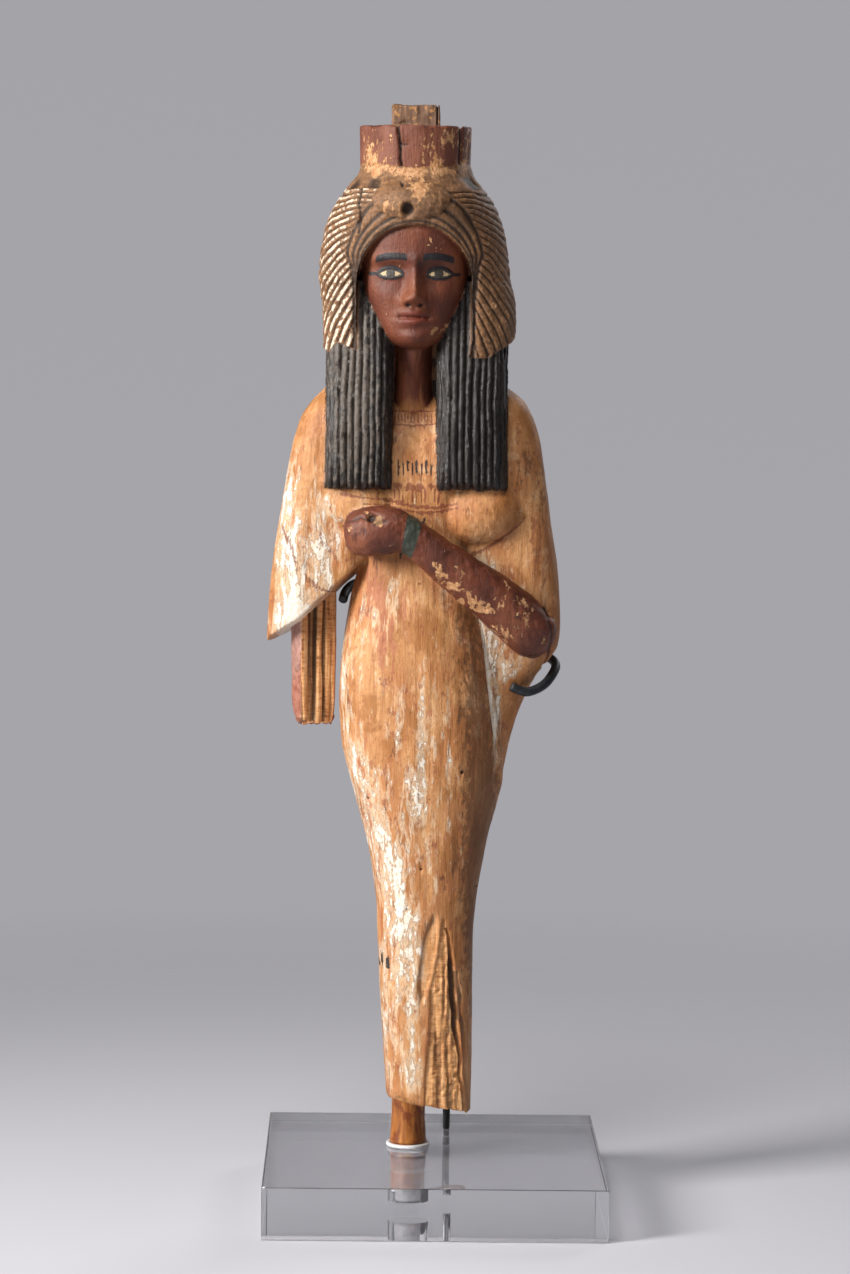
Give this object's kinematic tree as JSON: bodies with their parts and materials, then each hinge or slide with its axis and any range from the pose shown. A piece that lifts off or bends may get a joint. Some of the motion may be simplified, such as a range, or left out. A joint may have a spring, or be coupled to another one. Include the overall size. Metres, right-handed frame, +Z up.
{
  "type": "painted wooden ushabti-style statuette on a display stand",
  "caption": "Carved and painted wooden figurine of a standing lady with a bird cap, long wig and crossed arm, on a peg, clear block and wire support.",
  "frame": {"origin": "middle of the clear block's underside", "axes": "+Z up along the figure, which faces -Y; +X is to the viewer's right"},
  "size_m": [0.1313, 0.13, 0.424],
  "materials": {
    "painted_wood": "worn gesso and paint over carved wood, matt",
    "tenon_wood": "old split wood, matt",
    "peg_wood": "turned wood, waxed",
    "sleeve_white": "soft translucent white",
    "wire_black": "matt black coat over steel wire, bare at the foot",
    "clear_block": "clear, polished"
  },
  "bodies": {
    "root": {"figure": "painted_wood", "plume_tenon": "tenon_wood", "foot_peg": "peg_wood", "socket_sleeve": "sleeve_white", "support_wire": "wire_black", "base_block": "clear_block"}
  },
  "joints": []
}
